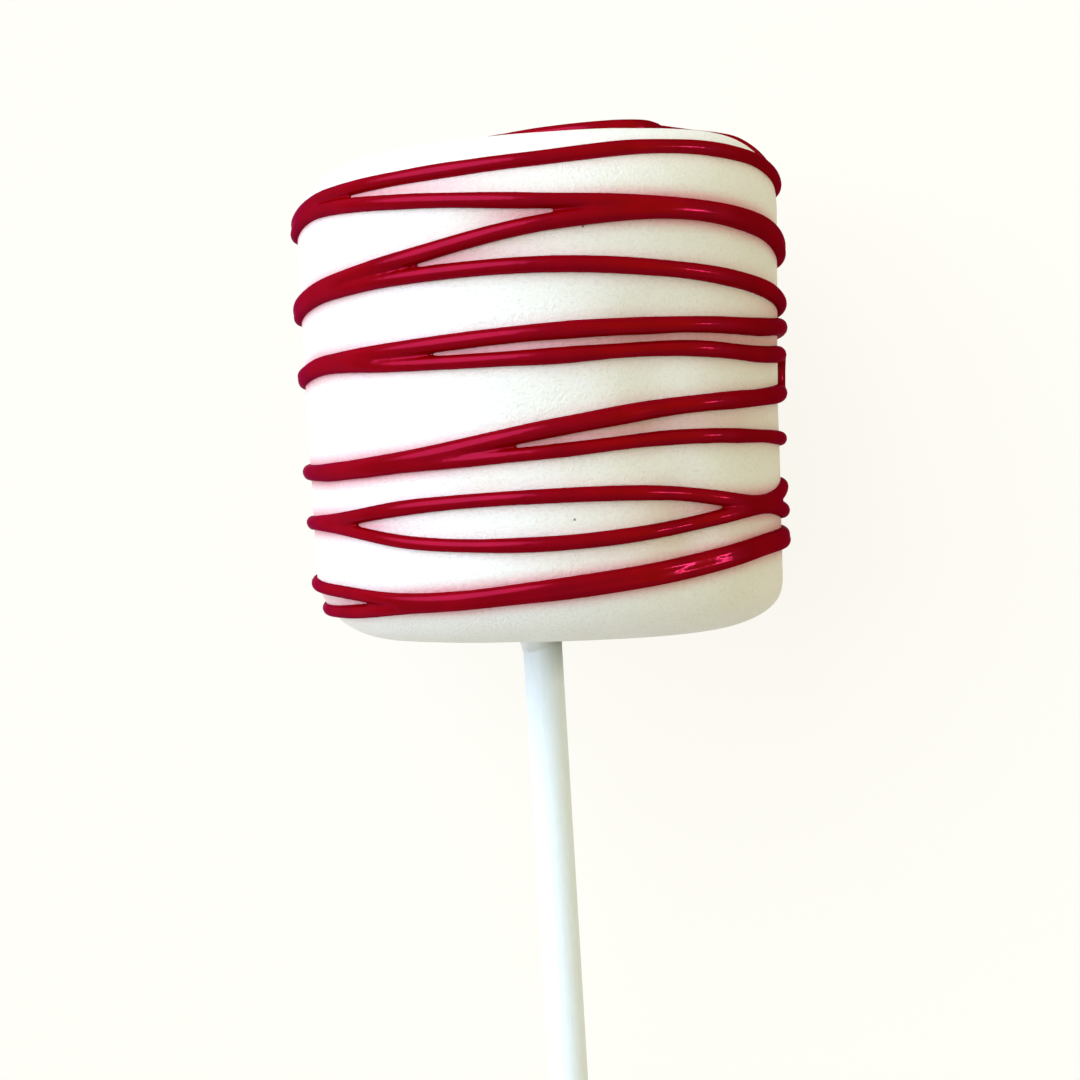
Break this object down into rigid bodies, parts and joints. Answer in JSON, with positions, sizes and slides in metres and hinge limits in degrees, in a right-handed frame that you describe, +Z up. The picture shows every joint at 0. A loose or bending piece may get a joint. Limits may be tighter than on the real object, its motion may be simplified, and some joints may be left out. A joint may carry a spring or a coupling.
{
  "type": "dipped marshmallow pop",
  "caption": "Large marshmallow in white candy coating, wound with a red candy drizzle, on a plain paper stick. It lies on its side, decorated side up.",
  "frame": {"origin": "middle of the small rest flat under the marshmallow, on the surface that the pop lies on", "axes": "+Y along the stick from its free end to the marshmallow's top; +X to the right seen from above; +Z up"},
  "size_m": [0.0507, 0.1682, 0.0486],
  "materials": {
    "candy_coating": "satin, off-white candy coating with a fine grain, wound with a glossy deep crimson candy drizzle",
    "red_drizzle": "glossy deep crimson candy",
    "stick_paper": "matt white rolled paper"
  },
  "bodies": {
    "root": {"coated_marshmallow": "candy_coating", "stick": "stick_paper"}
  },
  "joints": []
}
